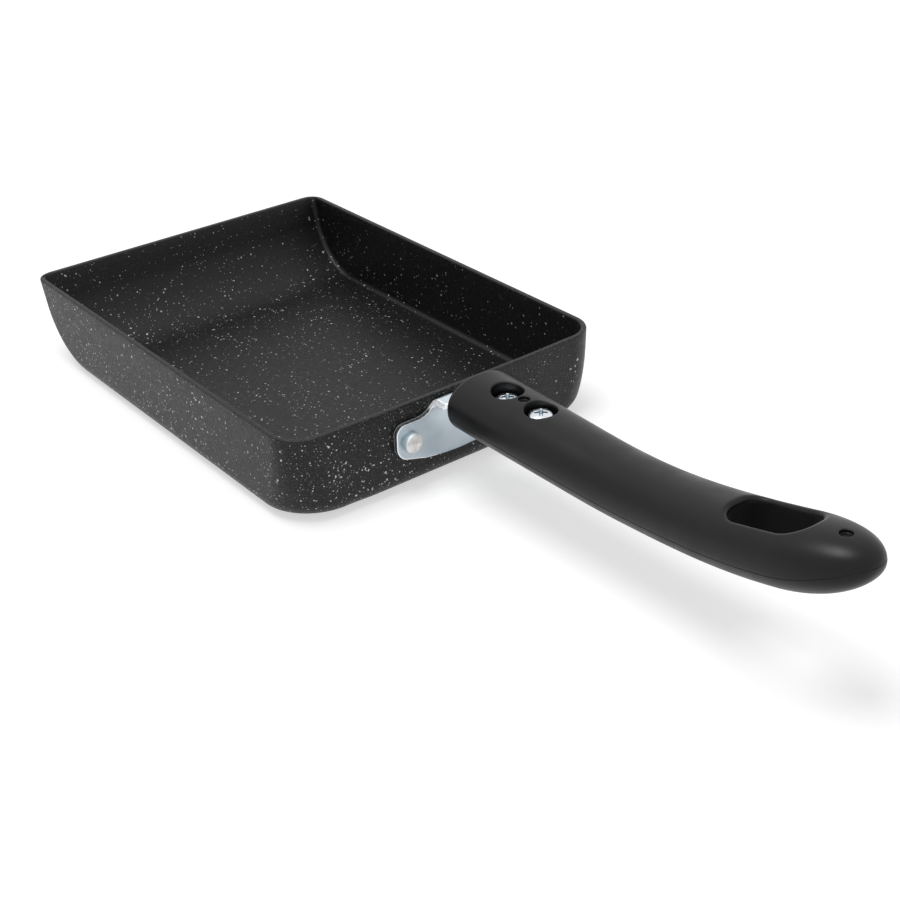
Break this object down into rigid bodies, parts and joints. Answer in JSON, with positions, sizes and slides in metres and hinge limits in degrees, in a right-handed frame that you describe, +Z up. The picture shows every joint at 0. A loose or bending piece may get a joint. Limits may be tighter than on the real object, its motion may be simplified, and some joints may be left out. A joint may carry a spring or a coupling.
{
  "type": "tamagoyaki pan",
  "caption": "Small rectangular non-stick omelette pan with a curled end, a riveted steel bracket and a screwed-on phenolic handle with a hanging slot.",
  "frame": {"origin": "underside of the base, below the middle of the rim's rectangle", "axes": "+X runs out along the handle, +Y across the pan to the right-hand side seen from the curled end, +Z up"},
  "size_m": [0.3511, 0.13, 0.052],
  "materials": {
    "coating": "satin black non-stick coating with fine white speckles",
    "zinc_plate": "bright zinc-plated sheet steel, bluish",
    "rivet_metal": "formed soft aluminium, matt",
    "phenolic": "satin black phenolic resin",
    "screw_steel": "bright zinc-plated steel"
  },
  "bodies": {
    "root": {"pan_body": "coating", "handle_bracket": "zinc_plate", "rivet_left": "rivet_metal", "rivet_right": "rivet_metal", "handle_grip": "phenolic", "screw_front": "screw_steel", "screw_rear": "screw_steel", "spring_washer_front": "screw_steel", "spring_washer_rear": "screw_steel"}
  },
  "joints": []
}
